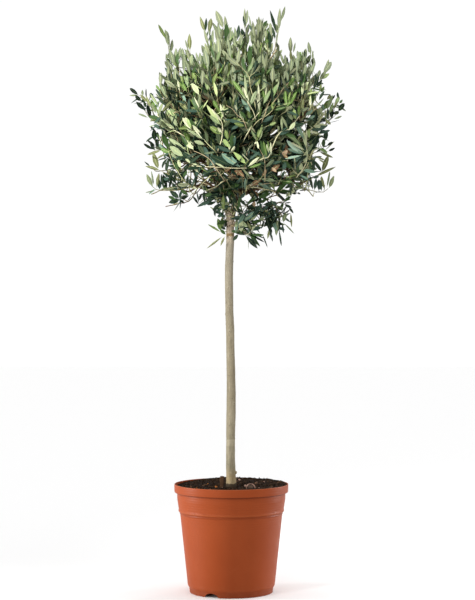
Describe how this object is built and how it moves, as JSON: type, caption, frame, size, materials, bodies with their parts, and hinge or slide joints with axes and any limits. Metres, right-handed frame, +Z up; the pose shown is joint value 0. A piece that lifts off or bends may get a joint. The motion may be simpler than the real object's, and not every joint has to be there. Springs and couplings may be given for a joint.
{
  "type": "potted olive tree",
  "caption": "Small olive tree trained as a standard, with a clear straight trunk and a loose rounded crown of narrow grey-green leaves, standing in a round tapered nursery pot.",
  "frame": {"origin": "middle of the flat underside of the pot, on the ground", "axes": "+Z up along the trunk, -Y towards the front of the tree, +X to its right seen from the front"},
  "size_m": [0.448, 0.4218, 1.228],
  "materials": {
    "pot_plastic": "satin",
    "potting_soil": "matte",
    "bark": "matte",
    "foliage": "matte"
  },
  "bodies": {
    "root": {"pot": "pot_plastic", "soil": "potting_soil", "trunk": "bark", "pruned_stub": "bark", "bough_leader": "bark", "bough_right": "bark", "bough_left": "bark", "bough_front_left": "bark", "bough_front_right": "bark", "bough_back_left": "bark", "bough_back_right": "bark", "bough_low_right": "bark", "foliage_crest": "foliage", "foliage_heart": "foliage", "foliage_skirt_right": "foliage", "foliage_sprig_left": "foliage", "foliage_upper_right": "foliage", "foliage_upper_back": "foliage", "foliage_upper_left": "foliage", "foliage_upper_front": "foliage", "foliage_middle_right": "foliage", "foliage_middle_back_right": "foliage", "foliage_middle_back_left": "foliage", "foliage_middle_left": "foliage", "foliage_middle_front_left": "foliage", "foliage_middle_front_right": "foliage", "foliage_lower_right": "foliage", "foliage_lower_back": "foliage", "foliage_lower_left": "foliage", "foliage_lower_front_left": "foliage", "foliage_lower_front_right": "foliage"}
  },
  "joints": []
}
